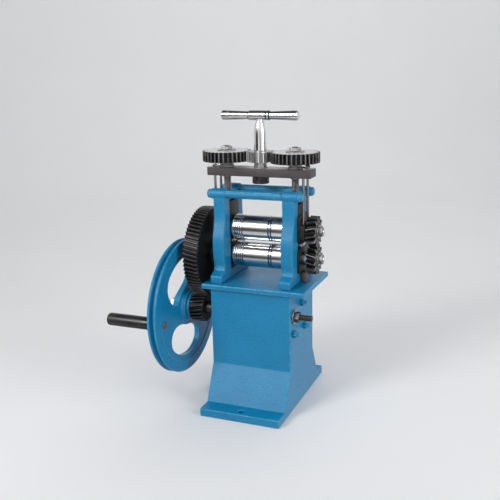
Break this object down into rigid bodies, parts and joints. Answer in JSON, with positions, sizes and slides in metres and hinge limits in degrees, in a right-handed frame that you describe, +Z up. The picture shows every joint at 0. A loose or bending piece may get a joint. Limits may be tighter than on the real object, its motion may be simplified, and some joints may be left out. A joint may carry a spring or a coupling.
{
  "type": "jewellers' rolling mill",
  "caption": "Bench rolling mill: ground rolls in two frames on a flared cast stand, T-handle screw-down through gears, grooved hand wheel geared to the lower roll.",
  "frame": {"origin": "middle of the footprint of the whole mill, on the bench", "axes": "+X along the rolls away from the hand wheel, +Y to the back, +Z up"},
  "size_m": [0.2998, 0.2438, 0.4367],
  "materials": {
    "blue_paint": "glossy blue enamel over a cast surface",
    "black_steel": "blackened, worn grey on the tooth edges",
    "dark_iron": "dull dark machined iron",
    "bright_steel": "ground and polished steel",
    "plain_steel": "turned or plated steel",
    "black_grip": "smooth black turned grip"
  },
  "bodies": {
    "stand": {"stand_casting": "blue_paint", "left_side_frame": "blue_paint", "right_side_frame": "blue_paint", "left_front_frame_bolt": "plain_steel", "left_rear_frame_bolt": "plain_steel", "right_front_frame_bolt": "plain_steel", "right_rear_frame_bolt": "plain_steel", "front_tie_bolt": "blue_paint", "rear_tie_bolt": "blue_paint", "front_tie_nut": "blue_paint", "rear_tie_nut": "blue_paint", "left_lower_chock": "dark_iron", "right_lower_chock": "dark_iron", "left_chock_spacer": "bright_steel", "right_chock_spacer": "bright_steel", "left_chock_prop": "plain_steel", "right_chock_prop": "plain_steel", "right_shaft_bearing": "dark_iron", "front_stud_nut": "blue_paint", "rear_stud_nut": "blue_paint", "upper_stud_nut": "blue_paint"},
    "lower_roll_assembly": {"lower_roll": "bright_steel", "drive_gear": "black_steel", "drive_gear_nut": "plain_steel", "lower_roll_pinion": "black_steel", "lower_pinion_washer": "plain_steel", "lower_pinion_nut": "plain_steel"},
    "crank_assembly": {"crank_shaft": "plain_steel", "crank_pinion": "black_steel", "hand_wheel": "blue_paint", "wheel_nut": "plain_steel", "handle_spindle": "plain_steel", "shaft_washer": "plain_steel", "shaft_nut": "black_steel"},
    "grip_assembly": {"handle_grip": "black_grip"},
    "lift_assembly": {"bridge_plate": "dark_iron", "left_sleeve": "bright_steel", "middle_sleeve": "bright_steel", "right_sleeve": "bright_steel", "left_front_lift_bolt": "bright_steel", "left_rear_lift_bolt": "bright_steel", "right_front_lift_bolt": "bright_steel", "right_rear_lift_bolt": "bright_steel", "left_upper_chock": "dark_iron", "right_upper_chock": "dark_iron"},
    "upper_roll_assembly": {"upper_roll": "bright_steel", "upper_roll_pinion": "black_steel", "upper_pinion_washer": "plain_steel", "upper_pinion_nut": "plain_steel"},
    "t_handle_assembly": {"t_handle": "bright_steel", "t_handle_pinion": "bright_steel", "t_handle_nut": "black_steel"},
    "left_screw_assembly": {"left_screw": "plain_steel", "left_screw_gear": "black_steel", "left_gear_washer": "plain_steel", "left_gear_nut": "plain_steel"},
    "right_screw_assembly": {"right_screw": "plain_steel", "right_screw_gear": "black_steel", "right_gear_washer": "plain_steel", "right_gear_nut": "plain_steel"}
  },
  "joints": [
    {"name": "crank_spin", "type": "hinge", "parent": "stand", "child": "crank_assembly", "pos_m": [-0.036, -0.0192, 0.1454], "axis": [1, 0, 0], "continuous": true},
    {"name": "grip_spin", "type": "hinge", "parent": "crank_assembly", "child": "grip_assembly", "pos_m": [-0.106, -0.09299, 0.13764], "axis": [1, 0, 0], "continuous": true},
    {"name": "lower_roll_spin", "type": "hinge", "parent": "stand", "child": "lower_roll_assembly", "pos_m": [0.054, 0.0168, 0.2246], "axis": [1, 0, 0], "continuous": true},
    {"name": "bridge_slide", "type": "slide", "parent": "stand", "child": "lift_assembly", "axis": [0, 0, 1], "range_m": [-0.0025, 0.003]},
    {"name": "upper_roll_spin", "type": "hinge", "parent": "lift_assembly", "child": "upper_roll_assembly", "pos_m": [0.054, 0.0168, 0.2657], "axis": [1, 0, 0], "continuous": true},
    {"name": "t_handle_spin", "type": "hinge", "parent": "lift_assembly", "child": "t_handle_assembly", "pos_m": [0.054, 0.0168, 0.3433], "axis": [0, 0, 1], "range_deg": [-921, 1105]},
    {"name": "left_screw_spin", "type": "hinge", "parent": "lift_assembly", "child": "left_screw_assembly", "pos_m": [0.001, 0.0168, 0.3433], "axis": [0, 0, 1], "range_deg": [-618, 515]},
    {"name": "right_screw_spin", "type": "hinge", "parent": "lift_assembly", "child": "right_screw_assembly", "pos_m": [0.107, 0.0168, 0.3433], "axis": [0, 0, 1], "range_deg": [-618, 515]}
  ],
  "couplings": [
    {"joint": "lower_roll_spin", "follows": "crank_spin", "ratio": -0.29851},
    {"joint": "upper_roll_spin", "follows": "crank_spin", "ratio": 0.29851},
    {"joint": "t_handle_spin", "follows": "bridge_slide", "rad_per_m": 6424.9},
    {"joint": "left_screw_spin", "follows": "bridge_slide", "rad_per_m": -3590.4},
    {"joint": "right_screw_spin", "follows": "bridge_slide", "rad_per_m": -3590.4}
  ]
}
